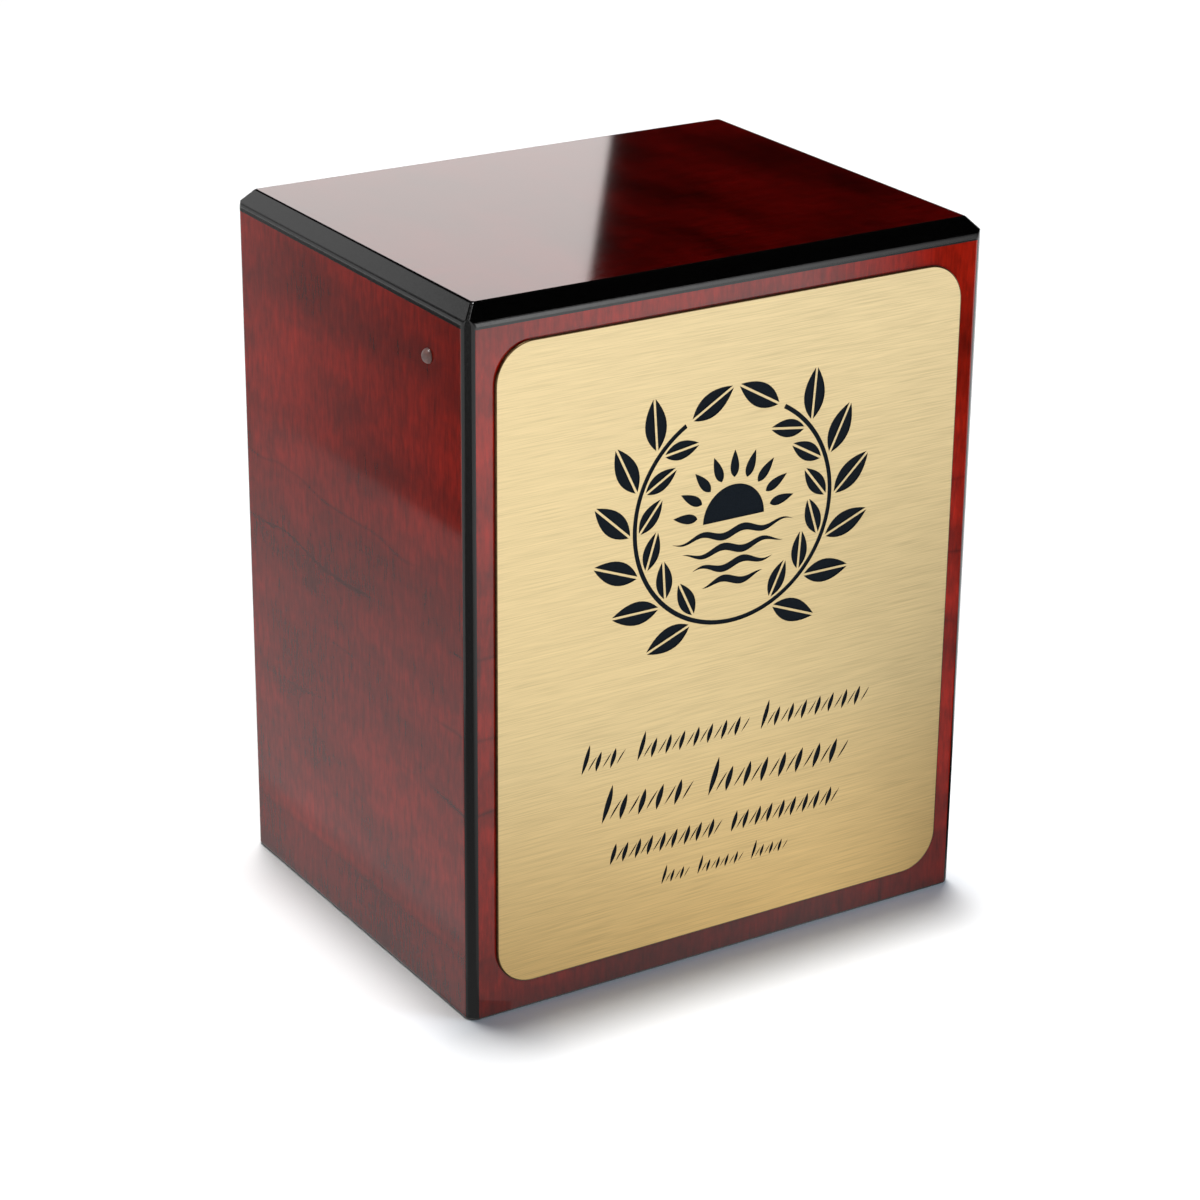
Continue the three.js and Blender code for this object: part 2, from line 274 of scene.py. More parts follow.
def stained_wood(material, axis, tones, fibres):
    """Red-stained wood: cloudy body colour, fibres, open pores and a shimmer of curl."""
    dark, middle, light = tones
    pores = stretched_noise(material, along_grain(axis, 330, 28), 3, 0.55, (3.1, 1.7, 5.2))
    curl = stretched_noise(material, along_grain(axis, 420, 140), 3, 0.6, (4.4, 0.3, 2.8))
    clouds = stretched_noise(material, along_grain(axis, 11, 30), 5, 0.55, (7.3, 2.9, 0.4))
    body = ramp(material, clouds, (0.36, dark), (0.5, middle), (0.64, light))
    fibre = ramp(material, fibres, (0.3, grey(0.78)), (0.5, grey(1.0)), (0.7, grey(1.2)))
    pore = ramp(material, pores, (0.24, grey(0.55)), (0.34, grey(0.97)), (0.7, grey(1.06)))
    shimmer = ramp(material, curl, (0.34, grey(0.8)), (0.5, grey(1.0)), (0.66, grey(1.2)))
    colour = mix(material, "MULTIPLY", 1.0, body, fibre)
    colour = mix(material, "MULTIPLY", 1.0, colour, pore)
    return mix(material, "MULTIPLY", 1.0, colour, shimmer)


def clear_lacquer(material, shader, fibres):
    """Clear gloss over the wood, with the fibres just telling through."""
    shader.inputs["Roughness"].default_value = 0.5
    shader.inputs["Specular IOR Level"].default_value = 0.0
    shader.inputs["Coat Weight"].default_value = 1.0
    shader.inputs["Coat IOR"].default_value = 1.5
    shader.inputs["Coat Roughness"].default_value = 0.05
    link(material, bump(material, fibres, 0.02 * MM, 0.12), shader.inputs["Coat Normal"])


def lacquered_veneer(name, axis, tones, figured):
    """Red-stained veneer under clear gloss lacquer, its grain along an axis, 0 for X and 2 for Z."""
    material, shader = new_material(name)
    fibres = stretched_noise(material, along_grain(axis, 1500, 170), 4, 0.6)
    colour = stained_wood(material, axis, tones, fibres)
    if figured:
        for tone_overlay in (veneer_leaves, figure_lines, darker_foot):
            colour = mix(material, "MULTIPLY", 1.0, colour, tone_overlay(material))
    link(material, colour, shader.inputs["Base Color"])
    clear_lacquer(material, shader, fibres)
    return material


def rise_between(material, low, high):
    """0 at the lower height on the piece and 1 at the upper one."""
    coordinates = add(material, "ShaderNodeTexCoord")
    split = add(material, "ShaderNodeSeparateXYZ")
    rise = add(material, "ShaderNodeMapRange")
    rise.inputs["From Min"].default_value = low
    rise.inputs["From Max"].default_value = high
    link(material, coordinates.outputs["Object"], split.inputs["Vector"])
    link(material, split.outputs["Z"], rise.inputs["Value"])
    return rise.outputs["Result"]


def darker_foot(material):
    """The walls darker in a band along their foot."""
    height = rise_between(material, 0, WALL_HEIGHT)
    return ramp(material, height, (0.0, grey(0.57)), (0.09, grey(0.64)), (0.1, grey(1.0)))


def veneer_leaves(material):
    """Each leaf of veneer round the walls a shade lighter or darker than the next."""
    coordinates = add(material, "ShaderNodeTexCoord")
    split = add(material, "ShaderNodeSeparateXYZ")
    link(material, coordinates.outputs["Object"], split.inputs["Vector"])
    along = material.node_tree.nodes.new("ShaderNodeMath")
    along.operation = "ADD"
    link(material, split.outputs["X"], along.inputs[0])
    link(material, split.outputs["Y"], along.inputs[1])
    leaf_number = material.node_tree.nodes.new("ShaderNodeMath")
    leaf_number.operation = "SNAP"
    leaf_number.inputs[1].default_value = VENEER_LEAF_WIDTH
    link(material, along.outputs["Value"], leaf_number.inputs[0])
    shade = add(material, "ShaderNodeTexWhiteNoise")
    shade.noise_dimensions = "1D"
    link(material, leaf_number.outputs["Value"], shade.inputs["W"])
    return ramp(material, shade.outputs["Value"], (0.0, grey(0.88)), (1.0, grey(1.08)))


def figure_lines(material):
    """A few thin dark growth lines that wander level across the middle of the board."""
    coordinates = add(material, "ShaderNodeTexCoord")
    wave = add(material, "ShaderNodeTexWave", Scale=14.0, Distortion=2.2, Detail=2.0, Detail_Scale=1.3)
    wave.wave_type = "BANDS"
    wave.bands_direction = "Z"
    link(material, coordinates.outputs["Object"], wave.inputs["Vector"])
    line = ramp(material, wave.outputs["Fac"], (0.0, grey(0.5)), (0.0025, grey(0.75)), (0.02, grey(1.0)))
    patches = stretched_noise(material, (16, 16, 16), 2, 0.5, (1.3, 8.1, 2.2))
    broken = ramp(material, patches, (0.4, grey(0.0)), (0.52, grey(1.0)))
    level = ramp(
        material, rise_between(material, 0, WALL_HEIGHT),
        (0.2, grey(0.0)), (0.3, grey(1.0)), (0.6, grey(1.0)), (0.7, grey(0.0)),
    )
    strength = mix(material, "MULTIPLY", 1.0, broken, level)
    return mix(material, "MIX", strength, (1.0, 1.0, 1.0, 1.0), line)


def black_lacquer():
    """Black edge lacquer with the faint orange peel of a sprayed edge."""
    material, shader = new_material("black_edge_lacquer")
    peel = stretched_noise(material, (1500, 1500, 1500), 3, 0.6)
    tone = ramp(material, peel, (0.3, grey(0.0002)), (0.7, grey(0.0008)))
    link(material, tone, shader.inputs["Base Color"])
    gloss = ramp(material, peel, (0.3, grey(0.12)), (0.7, grey(0.2)))
    link(material, gloss, shader.inputs["Roughness"])
    link(material, bump(material, peel, 0.05 * MM, 0.1), shader.inputs["Normal"])
    return material


def brushed_brass():
    """Brass brushed along its width, a deeper gold towards the foot and paler towards the head as a painted
    sheen.
    """
    material, shader = new_material("brushed_brass")
    fine = stretched_noise(material, (55, 55, 3600), 2, 0.6)
    broad = stretched_noise(material, (14, 14, 500), 3, 0.55, (2.0, 4.0, 1.0))
    height = rise_between(material, PLAQUE_LOW[2], PLAQUE_HIGH[2])
    # Painted sheen: the head of the plaque paler and its foot a deeper gold
    gold = ramp(material, height, *BRASS_SHEEN_TONES)
    bands = ramp(material, broad, (0.3, grey(0.97)), (0.7, grey(1.03)))
    lines = ramp(material, fine, (0.32, grey(0.84)), (0.5, grey(1.0)), (0.68, grey(1.1)))
    colour = mix(material, "MULTIPLY", 1.0, gold, bands)
    colour = mix(material, "MULTIPLY", 1.0, colour, lines)
    link(material, colour, shader.inputs["Base Color"])
    gloss = ramp(material, fine, (0.3, grey(0.34)), (0.7, grey(0.44)))
    link(material, gloss, shader.inputs["Roughness"])
    link(material, bump(material, fine, 0.03 * MM, 0.12), shader.inputs["Normal"])
    shader.inputs["Metallic"].default_value = 1.0
    shader.inputs["Anisotropic"].default_value = 0.6
    return material


def shadow_dark_brass_edge():
    """The cut edge of the plaque, duller than its face and painted dark brown as a shadow line round the
    plate.
    """
    material, shader = new_material("shadow_dark_brass_edge")
    shadow_mottle = stretched_noise(material, (900, 900, 900), 3, 0.6)
    # Painted shadow: rim and sides near black, so a dark line runs round the plate
    tone = ramp(material, shadow_mottle, (0.3, (0.07, 0.042, 0.02)), (0.7, (0.13, 0.08, 0.035)))
    link(material, tone, shader.inputs["Base Color"])
    shader.inputs["Metallic"].default_value = 1.0
    shader.inputs["Roughness"].default_value = 0.3
    return material


def engraving_fill():
    """Blue-black paint in the engraved marks."""
    material, shader = new_material("engraving_fill")
    grit = stretched_noise(material, (2500, 2500, 2500), 2, 0.5)
    tone = ramp(material, grit, (0.3, (0.003, 0.006, 0.010)), (0.7, (0.006, 0.010, 0.015)))
    link(material, tone, shader.inputs["Base Color"])
    shader.inputs["Roughness"].default_value = 0.6
    shader.inputs["Specular IOR Level"].default_value = 0.06
    return material


def plug_plastic():
    """Pinkish brown cover plug, a little scuffed."""
    material, shader = new_material("plug_plastic")
    scuffs = stretched_noise(material, (1400, 1400, 1400), 3, 0.6)
    tone = ramp(material, scuffs, (0.3, (0.13, 0.075, 0.068)), (0.7, (0.21, 0.115, 0.10)))
    link(material, tone, shader.inputs["Base Color"])
    shader.inputs["Roughness"].default_value = 0.35
    return material


def stained_board():
    """Dark stained fibreboard of the underside."""
    material, shader = new_material("stained_board")
    flecks = stretched_noise(material, (700, 700, 700), 5, 0.7)
    tone = ramp(material, flecks, (0.3, (0.035, 0.018, 0.014)), (0.7, (0.065, 0.036, 0.028)))
    link(material, tone, shader.inputs["Base Color"])
    shader.inputs["Roughness"].default_value = 0.7
    link(material, bump(material, flecks, 0.1 * MM, 0.3), shader.inputs["Normal"])
    return material


# Pieces

def as_object(name, bm, materials, ending=""):
    """Turns a bmesh into an object in the scene."""
    mesh = bpy.data.meshes.new(name)
    bm.to_mesh(mesh)
    bm.free()
    for material in materials:
        mesh.materials.append(material)
    thing = bpy.data.objects.new(name + ending, mesh)
    bpy.context.scene.collection.objects.link(thing)
    return thing


def finish_piece(name, bm, materials):
    """Turns a bmesh into an object that stands for the CAD node of that name."""
    piece = as_object(name, bm, materials, "_finished")
    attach(piece, "root")
    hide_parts(name)
    return piece


def cube_between(low, high):
    """A bmesh box between two corners."""
    bm = bmesh.new()
    bmesh.ops.create_cube(bm, size=1.0)
    low, high = Vector(low), Vector(high)
    bmesh.ops.scale(bm, vec=high - low, verts=bm.verts)
    bmesh.ops.translate(bm, vec=(low + high) / 2, verts=bm.verts)
    return bm


def soften(bm, edges, offset):
    bmesh.ops.bevel(
        bm, geom=edges, offset=offset, offset_type="OFFSET", segments=EDGE_SEGMENTS,
        profile=0.5, affect="EDGES", material=-1, clamp_overlap=True,
    )


def score(bm, point, normal):
    """Divides the faces along a plane, so that a finish can end there."""
    everything = bm.verts[:] + bm.edges[:] + bm.faces[:]
    bmesh.ops.bisect_plane(bm, geom=everything, plane_co=point, plane_no=normal)


def corner_points(size):
    """The chamfered corner between two edges, its arrises rounded, measured from the sharp corner."""
    chamfer, arris = CORNER_CHAMFER * size, CORNER_ARRIS * size
    radius = arris / math.tan(math.pi / 8)
    points = []
    for step in range(EDGE_SEGMENTS + 1):
        angle = math.pi / 2 - math.pi / 4 * step / EDGE_SEGMENTS
        points.append((radius * math.cos(angle) - chamfer - arris, radius * math.sin(angle) - radius))
    return points + [(y, x) for x, y in reversed(points)]


def top_outline(inset):
    """The outline of the top at a distance in from its widest."""
    size = max(1 - 2 * inset / CORNER_CHAMFER, SMALLEST_CORNER)
    pattern = corner_points(size)
    half_x, half_y = BOX_WIDTH / 2 - inset, BOX_DEPTH / 2 - inset
    outline = []
    for x_side, y_side in ((1, 1), (1, -1), (-1, -1), (-1, 1)):
        corner = [(x_side * (half_x + x), y_side * (half_y + y)) for x, y in pattern]
        outline += corner if x_side == y_side else reversed(corner)
    return outline


def rounded_turn(before, turn, after, radius):
    """Points of an arc of that radius that rounds the turn between two straight runs."""
    before, turn, after = Vector(before), Vector(turn), Vector(after)
    arriving, leaving = (before - turn).normalized(), (after - turn).normalized()
    half_angle = arriving.angle(leaving) / 2
    centre = turn + (arriving + leaving).normalized() * radius / math.sin(half_angle)
    reach = radius / math.tan(half_angle)
    start, end = turn + arriving * reach - centre, turn + leaving * reach - centre
    return [centre + radius * start.slerp(end, step / ROUNDING_STEPS) for step in range(ROUNDING_STEPS + 1)]


def top_edge_profile():
    """The edge of the top as (inset, height): the upright band, the bevel and the flat, turns rounded."""
    band_foot = (0, TOP_LOW[2])
    band_head = (0, TOP_LOW[2] + TOP_EDGE_BAND)
    bevel_head = (TOP_BEVEL_WIDTH, TOP_HIGH[2])
    flat = (2 * TOP_BEVEL_WIDTH, TOP_HIGH[2])
    lower = rounded_turn(band_foot, band_head, bevel_head, LOWER_BEVEL_ROUNDING)
    upper = rounded_turn(band_head, bevel_head, flat, UPPER_BEVEL_ROUNDING)
    return lower + upper


def top_board(veneer, black):
    """The top, raised ring by ring along the profile of its black edge."""
    bm = bmesh.new()
    order = bm.verts.layers.int.new("order")
    ring = [bm.verts.new((x, y, TOP_LOW[2])) for x, y in top_outline(0)]
    for index, vert in enumerate(ring):
        vert[order] = index
    underside = bm.faces.new(ring)
    lid = underside
    for inset, height in top_edge_profile():
        grown = bmesh.ops.extrude_face_region(bm, geom=[lid])["geom"]
        if lid is not underside:
            bm.faces.remove(lid)
        outline = top_outline(inset)
        for vert in [item for item in grown if isinstance(item, bmesh.types.BMVert)]:
            vert.co = (*outline[vert[order]], height)
        lid = [item for item in grown if isinstance(item, bmesh.types.BMFace)][0]
    bmesh.ops.recalc_face_normals(bm, faces=bm.faces)
    for face in bm.faces:
        face.material_index = 0 if face is lid else 1
    return finish_piece("top_board", bm, (veneer, black))


def wall(name, length, place, turn, veneer, black):
    """A wall board, drawn with its outer face on y = 0, then turned and moved to its place."""
    half = length / 2
    chamfer = CORNER_CHAMFER / 2
    mitre = (half - WALL_THICKNESS, WALL_THICKNESS)
    right_side = [(half - 2 * chamfer, 0), (half - chamfer, chamfer), mitre]
    left_side = [(-x, y) for x, y in reversed(right_side)]
    bm = bmesh.new()
    foot = bm.faces.new([bm.verts.new((x, y, 0)) for x, y in right_side + left_side])
    grown = bmesh.ops.extrude_face_region(bm, geom=[foot])["geom"]
    raised = [item for item in grown if isinstance(item, bmesh.types.BMVert)]
    bmesh.ops.translate(bm, vec=(0, 0, WALL_HEIGHT), verts=raised)
    bmesh.ops.recalc_face_normals(bm, faces=bm.faces)
    veneer_half = half - CORNER_CHAMFER - CORNER_BLACK_MARGIN
    outer = [edge for edge in bm.edges if all(vert.co.y < chamfer / 2 for vert in edge.verts)]
    corners = [edge for edge in outer if abs(edge.verts[0].co.z - edge.verts[1].co.z) > MM]
    soften(bm, corners, CORNER_ARRIS)
    foot_edges = [
        edge for edge in bm.edges
        if all(vert.co.z < NEAR and vert.co.y < chamfer + NEAR for vert in edge.verts)
    ]
    soften(bm, foot_edges, FOOT_ROUNDING)
    for x in (-veneer_half, veneer_half):
        score(bm, (x, 0, 0), (1, 0, 0))
    for face in bm.faces:
        middle = face.calc_center_median()
        edge_black = abs(middle.x) > veneer_half or middle.z < FOOT_ROUNDING
        face.material_index = 1 if edge_black else 0
    bmesh.ops.transform(bm, matrix=Matrix.Translation(place) @ Matrix.Rotation(turn, 4, "Z"), verts=bm.verts)
    return finish_piece(name, bm, (veneer, black))


def base_board(stain):
    bm = cube_between(BASE_LOW, BASE_HIGH)
    soften(bm, bm.edges[:], BASE_EDGE_ROUNDING)
    return finish_piece("base_board", bm, (stain,))


def screw_plug(plastic):
    """The plug's domed head, spun from a quarter ellipse."""
    radius = (PLUG_HIGH[1] - PLUG_LOW[1]) / 2
    face_x = TOP_LOW[0]
    dome = face_x - PLUG_LOW[0]
    axis_y = (PLUG_LOW[1] + PLUG_HIGH[1]) / 2
    axis_z = (PLUG_LOW[2] + PLUG_HIGH[2]) / 2
    bm = bmesh.new()
    profile = [bm.verts.new((face_x, axis_y, axis_z))]
    for step in range(PLUG_DOME_STEPS + 1):
        angle = math.pi / 2 * step / PLUG_DOME_STEPS
        across = radius * math.cos(angle)
        profile.append(bm.verts.new((face_x - dome * math.sin(angle), axis_y + across, axis_z)))
    edges = [bm.edges.new(pair) for pair in zip(profile, profile[1:])]
    bmesh.ops.spin(
        bm, geom=profile + edges, cent=(face_x, axis_y, axis_z), axis=(1, 0, 0), dvec=(0, 0, 0),
        angle=2 * math.pi, steps=PLUG_TURNS, use_merge=True,
    )
    bmesh.ops.remove_doubles(bm, verts=bm.verts, dist=VERY_NEAR / 10)
    bmesh.ops.recalc_face_normals(bm, faces=bm.faces)
    for face in bm.faces:
        face.smooth = abs(face.normal.x) < 0.999 or face.calc_center_median().x < face_x - NEAR
    return finish_piece("side_screw_plug", bm, (plastic,))


# Engraving, drawn in millimetres from the middle of the plaque

def curve(start, control, end):
    """Points along a curve pulled towards one control point, without its last point."""
    start, control, end = (Vector((x, y)) for x, y in (start, control, end))
    first = start.lerp(control, 2 / 3)
    second = end.lerp(control, 2 / 3)
    return [tuple(point) for point in interpolate_bezier(start, first, second, end, CURVE_STEPS)[:-1]]


def placed(points, place, turn):
    cosine, sine = math.cos(turn), math.sin(turn)
    return [(place[0] + x * cosine - y * sine, place[1] + x * sine + y * cosine) for x, y in points]


def leaf(length, place, turn):
    """The two halves of a leaf, either side of its rib."""
    tip = LEAF_STANDOFF + length
    halves = []
    for side in (1, -1):
        rib = side * LEAF_RIB / 2
        belly = (LEAF_STANDOFF + length * LEAF_BELLY, rib + side * length * LEAF_SLENDERNESS * 2)
        outline = curve((LEAF_STANDOFF, rib), belly, (tip, rib)) + [(tip, rib)]
        halves.append(placed(outline, place, turn))
    return halves


def branch_leaves(side):
    """Leaves in pairs along one branch: side 1 climbs on the right, side -1 on the left."""
    marks = []
    spread = side * math.radians(LEAF_SPREAD)
    for step in range(1, LEAF_PAIRS + 2):
        angle = math.radians(BRANCH_START + (BRANCH_END - BRANCH_START) * step / (LEAF_PAIRS + 1))
        x = WREATH_CENTRE[0] + side * WREATH_RADIUS * math.cos(angle)
        y = WREATH_CENTRE[1] + WREATH_RADIUS * math.sin(angle)
        growth = math.pi / 2 + side * angle
        if step > LEAF_PAIRS:
            marks += leaf(OUTER_LEAF_LENGTH, (x, y), growth)
        else:
            marks += leaf(INNER_LEAF_LENGTH, (x, y), growth + spread)
            marks += leaf(OUTER_LEAF_LENGTH, (x, y), growth - spread)
    return marks


def arc(radius, start, end, steps):
    angles = [start + (end - start) * step / steps for step in range(steps + 1)]
    return [(radius * math.cos(angle), radius * math.sin(angle)) for angle in angles]


def stems():
    """The two stems as one arc, open at the top."""
    start = math.radians(180 - BRANCH_END)
    end = math.radians(360 + BRANCH_END)
    steps = 8 * CURVE_STEPS
    outer = arc(WREATH_RADIUS + BRANCH_WIDTH / 2, start, end, steps)
    inner = arc(WREATH_RADIUS - BRANCH_WIDTH / 2, end, start, steps)
    return [placed(outer + inner, WREATH_CENTRE, 0)]


def sun():
    marks = [placed(arc(SUN_RADIUS, 0, math.pi, 3 * CURVE_STEPS), SUN_CENTRE, 0)]
    root, tip = (RAY_INNER_RADIUS, 0), (RAY_OUTER_RADIUS, 0)
    left = curve(root, (RAY_BELLY_RADIUS, 2 * RAY_HALF_WIDTH), tip)
    right = curve(tip, (RAY_BELLY_RADIUS, -2 * RAY_HALF_WIDTH), root)
    for index in range(SUN_RAYS):
        marks.append(placed(left + right, SUN_CENTRE, math.pi * (index + 0.5) / SUN_RAYS))
    return marks


def ripple(length, phase):
    """A wave that swells along its length and thins out at both ends."""
    steps = 4 * CURVE_STEPS
    lower, upper = [], []
    for step in range(steps + 1):
        x = length * (step / steps - 0.5)
        height = RIPPLE_SWELL * math.sin(2 * math.pi * x / RIPPLE_WAVELENGTH + phase)
        half = RIPPLE_THICKNESS / 2 * math.sin(math.pi * step / steps)
        lower.append((x, height - half))
        upper.append((x, height + half))
    return lower + upper[-2:0:-1]


def water():
    marks = []
    for row in range(RIPPLE_ROWS):
        length = RIPPLE_FIRST_LENGTH - RIPPLE_SHORTENING * row
        drop = RIPPLE_FIRST_DROP + RIPPLE_PITCH * row
        marks.append(placed(ripple(length, row * math.pi), (SUN_CENTRE[0], SUN_CENTRE[1] - drop), 0))
    return marks


def pen_stroke(height, lean, weight, bow):
    """A leaning stroke, pointed at both ends and bowed to one side."""
    foot = (0, 0)
    head = (height * math.tan(math.radians(lean)), height)
    middle = head[0] / 2 + bow * height
    right = curve(foot, (middle + weight * height, height / 2), head)
    left = curve(head, (middle - weight * height, height / 2), foot)
    return right + left


def inscription_row(baseline, left, right, tall, short, groups):
    pitch = (right - left) / (sum(groups) + GROUP_GAP * (len(groups) - 1))
    marks = []
    x = left
    for count in groups:
        for index in range(count):
            height = short if index else tall
            bow = -STROKE_BOW if index % 2 else STROKE_BOW
            heavy = pen_stroke(height, STROKE_LEAN, STROKE_WEIGHT * short / height, bow)
            hairline = pen_stroke(short * HAIRLINE_HEIGHT, HAIRLINE_LEAN, HAIRLINE_WEIGHT, -bow)
            marks.append(placed(heavy, (x, baseline), 0))
            marks.append(placed(hairline, (x + pitch * HAIRLINE_STEP, baseline + short * HAIRLINE_LIFT), 0))
            x += pitch
        x += pitch * GROUP_GAP
    return marks


def engraving_marks():
    marks = stems() + branch_leaves(1) + branch_leaves(-1) + sun() + water()
    for row in INSCRIPTION_ROWS:
        marks += inscription_row(*row)
    return marks


def engraving_cutter(fill):
    """Every mark as a prism that reaches from in front of the plaque down to the engraving's floor."""
    centre_z = (PLAQUE_LOW[2] + PLAQUE_HIGH[2]) / 2
    front_y = PLAQUE_LOW[1]
    bm = bmesh.new()
    for mark in engraving_marks():
        corners = [bm.verts.new((x * MM, front_y - ENGRAVING_DEPTH, centre_z + y * MM)) for x, y in mark]
        bm.faces.new(corners)
    grown = bmesh.ops.extrude_face_region(bm, geom=bm.faces[:])["geom"]
    sunk = [item for item in grown if isinstance(item, bmesh.types.BMVert)]
    bmesh.ops.translate(bm, vec=(0, 2 * ENGRAVING_DEPTH, 0), verts=sunk)
    bmesh.ops.recalc_face_normals(bm, faces=bm.faces)
    for face in bm.faces:
        face.material_index = 1
    return as_object("engraving_cutter", bm, (fill, fill))


def plaque_blank():
    """The plate with round corners and a fine bevelled rim, before engraving."""
    bm = cube_between(PLAQUE_LOW, PLAQUE_HIGH)
    corners = [edge for edge in bm.edges if abs(edge.verts[0].co.y - edge.verts[1].co.y) > NEAR]
    bmesh.ops.bevel(
        bm, geom=corners, offset=PLAQUE_CORNER_RADIUS, offset_type="OFFSET", segments=PLAQUE_CORNER_SEGMENTS,
        profile=0.5, affect="EDGES", material=-1,
    )
    near_front = PLAQUE_LOW[1] + VERY_NEAR
    front_rim = [edge for edge in bm.edges if all(vert.co.y < near_front for vert in edge.verts)]
    bmesh.ops.bevel(
        bm, geom=front_rim, offset=PLAQUE_RIM, offset_type="OFFSET", segments=PLAQUE_RIM_SEGMENTS,
        profile=0.5, affect="EDGES", material=-1,
    )
    # The rim and sides take the third finish, painted dark as a shadow line round the plate
    for face in bm.faces:
        face.material_index = 0 if abs(face.normal.y) > 0.999 else 2
    return bm


def brass_plaque(brass, fill, edge):
    plaque = finish_piece("brass_plaque", plaque_blank(), (brass, fill, edge))
    cutter = engraving_cutter(fill)
    carve = plaque.modifiers.new("engraving", "BOOLEAN")
    carve.operation = "DIFFERENCE"
    carve.solver = "EXACT"
    carve.use_self = True
    carve.object = cutter
    bpy.context.view_layer.update()
    carved = bpy.data.meshes.new_from_object(plaque.evaluated_get(bpy.context.evaluated_depsgraph_get()))
    plaque.modifiers.clear()
    plaque.data = carved
    bpy.data.objects.remove(cutter)
    return plaque


# Studio

def floor():
    """A wide pale floor."""
    material, shader = new_material("pale_floor")
    tint = stretched_noise(material, (3, 3, 3), 2, 0.5)
    tone = ramp(material, tint, (0.3, grey(0.86)), (0.7, grey(0.88)))
    link(material, tone, shader.inputs["Base Color"])
    shader.inputs["Roughness"].default_value = 0.9
    shader.inputs["Specular IOR Level"].default_value = 0.1
    bm = bmesh.new()
    bmesh.ops.create_grid(bm, x_segments=1, y_segments=1, size=FLOOR_HALF_SIZE)
    sheet = as_object("floor", bm, (material,))
    return sheet


def softbox(name, place, target, size, radiance, tint, lean=0.0, lit=()):
    """A glowing card that faces a target, leans in its own plane and isn't itself seen by the camera.
    It lights everything, or only the pieces in lit."""
    lamp = bpy.data.lights.new(name, "AREA")
    lamp.shape = "RECTANGLE"
    lamp.size, lamp.size_y = size
    lamp.energy = radiance * math.pi * lamp.size * lamp.size_y
    lamp.color = tint
    holder = bpy.data.objects.new(name, lamp)
    facing = (Vector(target) - Vector(place)).to_track_quat("-Z", "Y").to_matrix().to_4x4()
    holder.matrix_world = Matrix.Translation(place) @ facing @ Matrix.Rotation(math.radians(lean), 4, "Z")
    holder.visible_camera = False
    bpy.context.scene.collection.objects.link(holder)
    if lit:
        reach = bpy.data.collections.new(name + "_reach")
        for piece in lit:
            reach.objects.link(piece)
        holder.light_linking.receiver_collection = reach


def mirrored_card(name, place, size, heading, tilt, radiance, across, along):
    """A glowing card there only to be mirrored in the finishes. Its glow changes through (position, tone)
    stops across its width and along its length; a flat card has no tilt and an upright one is tilted 90."""
    material = bpy.data.materials.new(name)
    material.use_nodes = True
    material.cycles.emission_sampling = "NONE"
    nodes = material.node_tree.nodes
    nodes.remove(nodes["Principled BSDF"])
    coordinates = add(material, "ShaderNodeTexCoord")
    split = add(material, "ShaderNodeSeparateXYZ")
    link(material, coordinates.outputs["UV"], split.inputs["Vector"])
    width_tone = ramp(material, split.outputs["X"], *[(position, grey(tone)) for position, tone in across])
    length_tone = ramp(material, split.outputs["Y"], *[(position, grey(tone)) for position, tone in along])
    glow = add(material, "ShaderNodeEmission", Strength=radiance)
    link(material, mix(material, "MULTIPLY", 1.0, width_tone, length_tone), glow.inputs["Color"])
    link(material, glow.outputs["Emission"], nodes["Material Output"].inputs["Surface"])
    bm = bmesh.new()
    bm.loops.layers.uv.new("card")
    bmesh.ops.create_grid(bm, x_segments=1, y_segments=1, size=0.5, calc_uvs=True)
    bmesh.ops.scale(bm, vec=(*size, 1), verts=bm.verts)
    turn = Matrix.Rotation(math.radians(heading), 4, "Z") @ Matrix.Rotation(math.radians(tilt), 4, "X")
    bmesh.ops.transform(bm, matrix=Matrix.Translation(place) @ turn, verts=bm.verts)
    card = as_object(name, bm, (material,))
    card.visible_camera = False
    card.visible_diffuse = False
    card.visible_shadow = False


def high_key():
    """A broad distant light, almost straight overhead, that draws the close shadow at the foot."""
    lamp = bpy.data.lights.new("high_key", "SUN")
    lamp.angle = math.radians(HIGH_KEY_WIDTH)
    lamp.energy = HIGH_KEY_STRENGTH
    holder = bpy.data.objects.new("high_key", lamp)
    holder.rotation_euler = (-Vector(HIGH_KEY_TOWARDS)).to_track_quat("-Z", "Y").to_euler()
    bpy.context.scene.collection.objects.link(holder)


def world_glow():
    """Pale light near the horizon and a dark ceiling above it."""
    world = bpy.data.worlds.new("studio")
    bpy.context.scene.world = world
    world.use_nodes = True
    nodes, links = world.node_tree.nodes, world.node_tree.links
    coordinates = nodes.new("ShaderNodeTexCoord")
    split = nodes.new("ShaderNodeSeparateXYZ")
    fade = nodes.new("ShaderNodeValToRGB")
    low, high = fade.color_ramp.elements
    low.position, low.color = LOW_SKY_END, (*grey(LOW_SKY), 1)
    high.position, high.color = HIGH_SKY_START, (*grey(HIGH_SKY), 1)
    links.new(coordinates.outputs["Generated"], split.inputs["Vector"])
    links.new(split.outputs["Z"], fade.inputs["Fac"])
    links.new(fade.outputs["Color"], nodes["Background"].inputs["Color"])


def camera():
    lens = bpy.data.cameras.new("photo_view")
    lens.lens = CAMERA_LENS
    lens.sensor_width = CAMERA_SENSOR
    lens.sensor_fit = "HORIZONTAL"
    lens.clip_start = 0.01
    holder = bpy.data.objects.new("photo_view", lens)
    heading = Matrix.Rotation(math.radians(CAMERA_AZIMUTH), 4, "Z")
    tilt = Matrix.Rotation(math.radians(90 - CAMERA_ELEVATION), 4, "X")
    roll = Matrix.Rotation(math.radians(CAMERA_ROLL), 4, "Z")
    holder.matrix_world = Matrix.Translation(CAMERA_PLACE) @ heading @ tilt @ roll
    bpy.context.scene.collection.objects.link(holder)
    bpy.context.scene.camera = holder


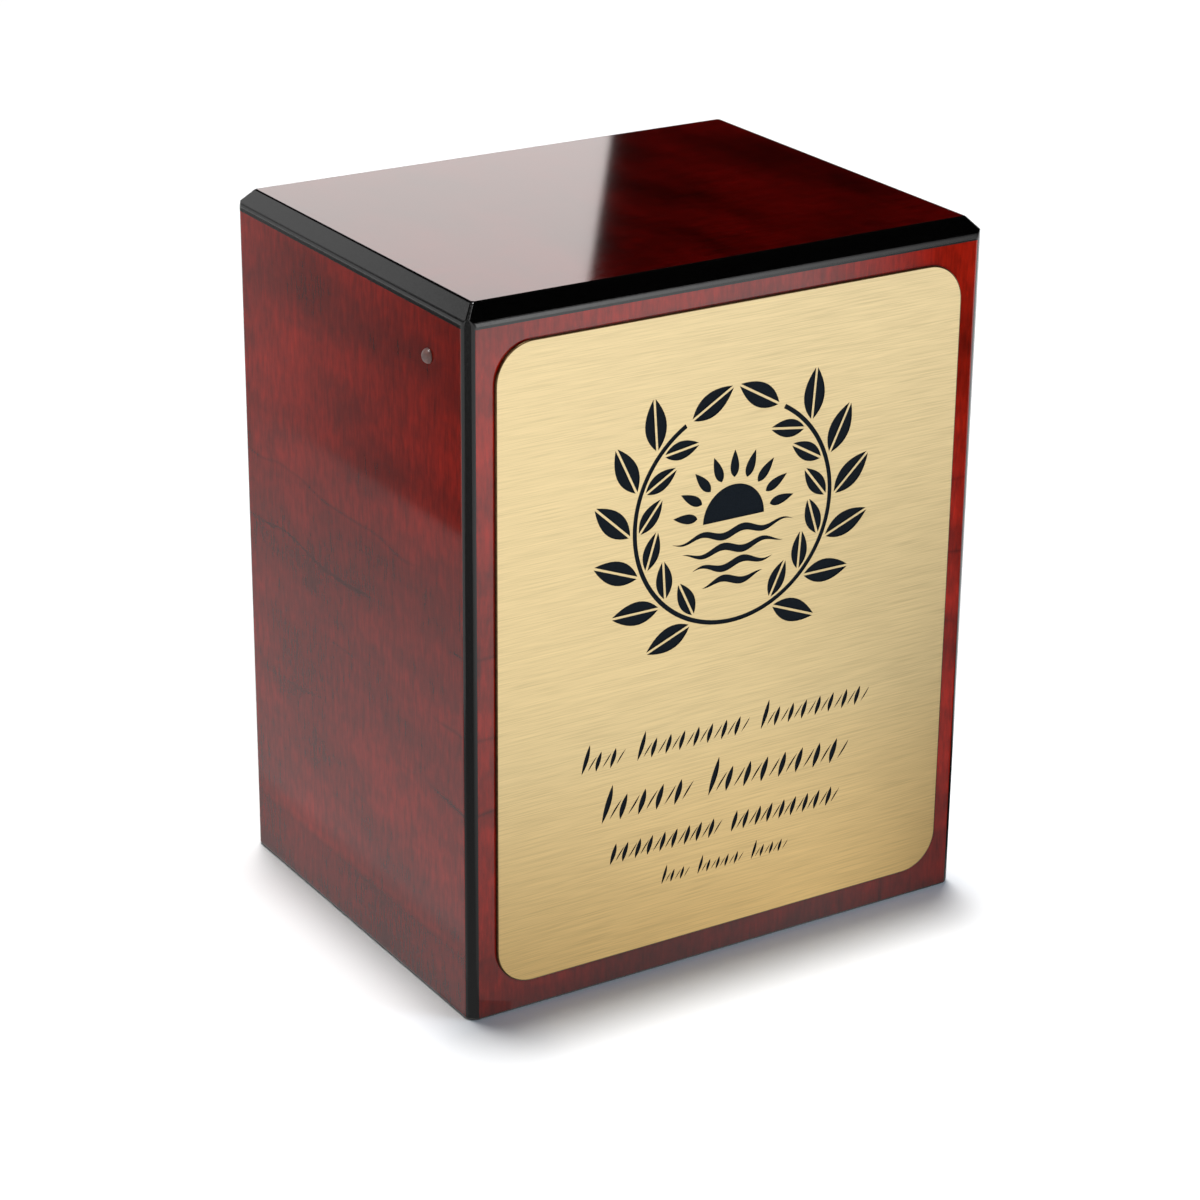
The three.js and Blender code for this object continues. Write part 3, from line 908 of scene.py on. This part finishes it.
def mirrored_surroundings():
    """What the lacquer and the brass mirror: a table bright in front of the box and dim on its left."""
    mirrored_card(
        "beside_left", (-0.275, 0.5, 0.08), (0.7, 0.16), ALONG_LEFT_SIDE, UPRIGHT, 1.0,
        BESIDE_LEFT_GLOW, EVEN_GLOW,
    )
    mirrored_card(
        "left_table", (-0.18125, 0.266, 0.0009), (0.1875, 0.668), 0, FLAT, 1.0,
        LEFT_TABLE_GLOW, EVEN_GLOW,
    )
    mirrored_card(
        "before_corner", (-0.4395, -0.2434, 0.0006), (0.8, 0.14), SQUARE_TO_VIEW, FLAT, 1.0,
        BEFORE_CORNER_GLOW, EVEN_GLOW,
    )
    mirrored_card(
        "before_front", (0.3326, -0.3048, 0.0003), (1.1, 1.12), SQUARE_TO_VIEW, FLAT, 2.0,
        BEFORE_FRONT_GLOW_ACROSS, BEFORE_FRONT_GLOW_ALONG,
    )
    mirrored_card(
        "beyond_front", (0.7, -1.0, 0.35), (0.6, 0.7), SQUARE_TO_VIEW, UPRIGHT, 4.0,
        BEYOND_FRONT_GLOW, EVEN_GLOW,
    )


def light_cards(front_pieces, sheet):
    """Two cards behind the box, one for the front alone and one that lifts the shadow on the floor."""
    softbox(
        "top_card", TOP_CARD_PLACE, TOP_CARD_TARGET, TOP_CARD_SIZE, TOP_CARD_RADIANCE, WARM_WHITE,
        lean=TOP_CARD_LEAN,
    )
    softbox(
        "bevel_card", BEVEL_CARD_PLACE, BEVEL_CARD_TARGET, BEVEL_CARD_SIZE, BEVEL_CARD_RADIANCE,
        NEUTRAL_WHITE,
    )
    softbox(
        "front_card", FRONT_CARD_PLACE, FRONT_CARD_TARGET, FRONT_CARD_SIZE, FRONT_CARD_RADIANCE,
        NEUTRAL_WHITE, lit=front_pieces,
    )
    softbox(
        "floor_fill", FLOOR_FILL_PLACE, FLOOR_FILL_TARGET, FLOOR_FILL_SIZE, FLOOR_FILL_RADIANCE,
        COOL_WHITE, lit=(sheet,),
    )


def studio(front_pieces):
    sheet = floor()
    world_glow()
    high_key()
    light_cards(front_pieces, sheet)
    mirrored_surroundings()
    bpy.context.scene.view_settings.view_transform = "Standard"
    camera()


def box_pieces():
    black = black_lacquer()
    top_veneer = lacquered_veneer("top_veneer", 0, TOP_TONES, False)
    wall_veneer = lacquered_veneer("wall_veneer", 2, WALL_TONES, True)
    top_board(top_veneer, black)
    front, side = BOX_DEPTH / 2, BOX_WIDTH / 2
    quarter = math.pi / 2
    front_board = wall("front_board", BOX_WIDTH, (0, -front, 0), 0, wall_veneer, black)
    wall("right_side_board", BOX_DEPTH, (side, 0, 0), quarter, wall_veneer, black)
    wall("back_board", BOX_WIDTH, (0, front, 0), 2 * quarter, wall_veneer, black)
    wall("left_side_board", BOX_DEPTH, (-side, 0, 0), -quarter, wall_veneer, black)
    base_board(stained_board())
    screw_plug(plug_plastic())
    plaque = brass_plaque(brushed_brass(), engraving_fill(), shadow_dark_brass_edge())
    return front_board, plaque


front_pieces = box_pieces()
studio(front_pieces)
